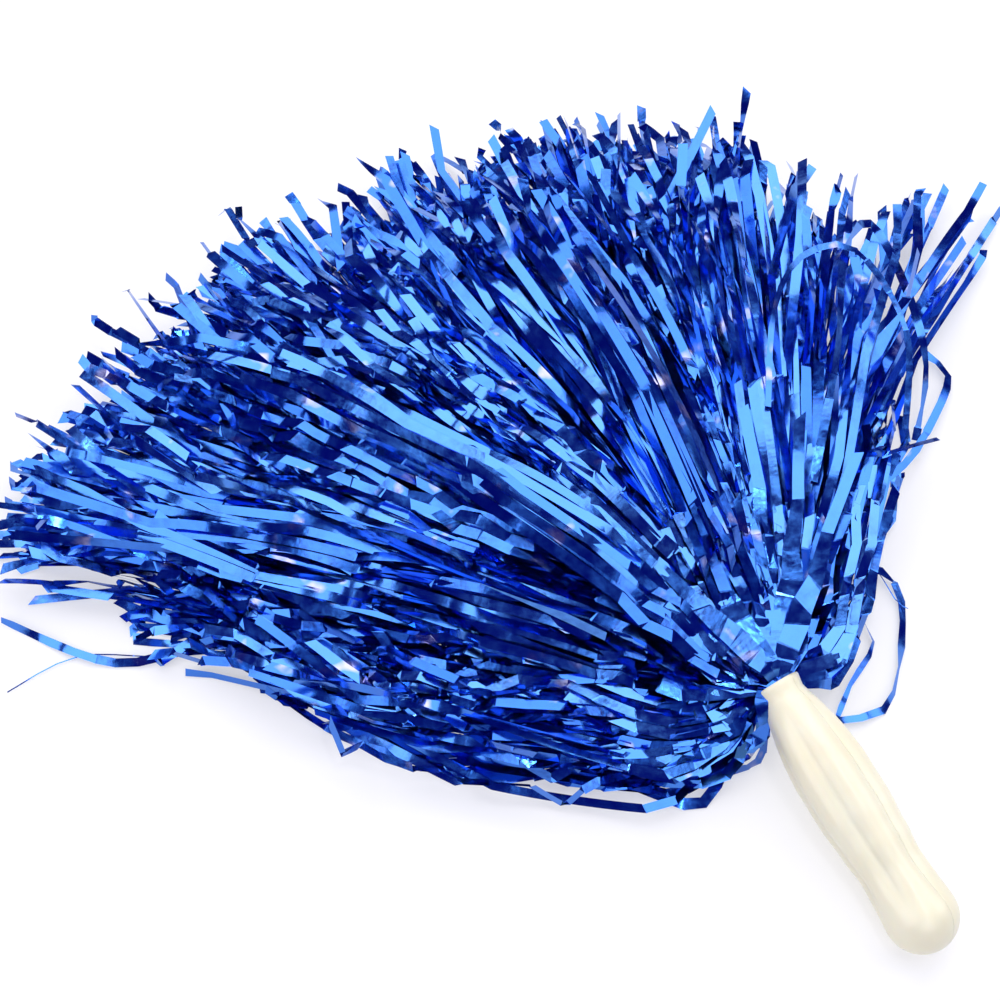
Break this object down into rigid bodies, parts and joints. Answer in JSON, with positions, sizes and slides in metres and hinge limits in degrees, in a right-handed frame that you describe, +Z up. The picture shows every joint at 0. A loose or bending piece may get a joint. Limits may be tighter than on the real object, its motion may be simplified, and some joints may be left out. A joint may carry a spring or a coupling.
{
  "type": "cheer pom pom",
  "caption": "Cheer pom pom with metallic blue foil strands fanned out from the mouth of a contoured ivory plastic baton grip.",
  "frame": {"origin": "under the middle of the whole object, on the surface that it lies on", "axes": "+Z up; +Y from the grip's mouth along the middle of the foil fan; +X to the fan's right"},
  "size_m": [0.4524, 0.3919, 0.073],
  "materials": {
    "ivory_plastic": "satin",
    "blue_foil": "gloss",
    "clear_tape": "gloss",
    "steel_wire": "satin"
  },
  "bodies": {
    "handle": {"handle_shell_left": "ivory_plastic", "handle_shell_right": "ivory_plastic", "foil_root_roll": "blue_foil", "root_tape_band": "clear_tape", "tie_wire": "steel_wire"},
    "fan_centre": {"under_sheaf_centre": "blue_foil", "over_sheaf_centre": "blue_foil", "under_sheaf_left_inner": "blue_foil", "over_sheaf_left_inner": "blue_foil", "under_sheaf_right_inner": "blue_foil", "over_sheaf_right_inner": "blue_foil"},
    "fan_left": {"under_sheaf_left_outer": "blue_foil", "over_sheaf_left_outer": "blue_foil"},
    "fan_left_edge": {"under_sheaf_left_edge": "blue_foil", "over_sheaf_left_edge": "blue_foil", "side_sheaf_left": "blue_foil", "back_sheaf_left": "blue_foil"},
    "fan_right": {"under_sheaf_right_outer": "blue_foil", "over_sheaf_right_outer": "blue_foil"},
    "fan_right_edge": {"under_sheaf_right_edge": "blue_foil", "over_sheaf_right_edge": "blue_foil", "back_sheaf_right": "blue_foil"},
    "crown": {"crown_sheaf_left_outer": "blue_foil", "crown_sheaf_left_inner": "blue_foil", "crown_sheaf_right_inner": "blue_foil", "crown_sheaf_right_outer": "blue_foil"}
  },
  "joints": [
    {"name": "foil_flop", "type": "hinge", "parent": "handle", "child": "fan_centre", "pos_m": [0.02879, -0.08546, 0.03085], "axis": [1, 0, 0], "range_deg": [-35, 45]},
    {"name": "left_spread", "type": "hinge", "parent": "fan_centre", "child": "fan_left", "pos_m": [0.02879, -0.08546, 0.03085], "axis": [0, 0, 1], "range_deg": [0, 10]},
    {"name": "left_edge_spread", "type": "hinge", "parent": "fan_left", "child": "fan_left_edge", "pos_m": [0.02879, -0.08546, 0.03085], "axis": [0, 0, 1], "range_deg": [0, 10]},
    {"name": "right_spread", "type": "hinge", "parent": "fan_centre", "child": "fan_right", "pos_m": [0.02879, -0.08546, 0.03085], "axis": [0, 0, -1], "range_deg": [0, 10]},
    {"name": "right_edge_spread", "type": "hinge", "parent": "fan_right", "child": "fan_right_edge", "pos_m": [0.02879, -0.08546, 0.03085], "axis": [0, 0, -1], "range_deg": [0, 10]},
    {"name": "crown_lift", "type": "hinge", "parent": "fan_centre", "child": "crown", "pos_m": [0.02879, -0.08546, 0.03085], "axis": [1, 0, 0], "range_deg": [0, 35]}
  ],
  "couplings": [
    {"joint": "left_edge_spread", "follows": "left_spread", "ratio": 1},
    {"joint": "right_edge_spread", "follows": "right_spread", "ratio": 1}
  ]
}
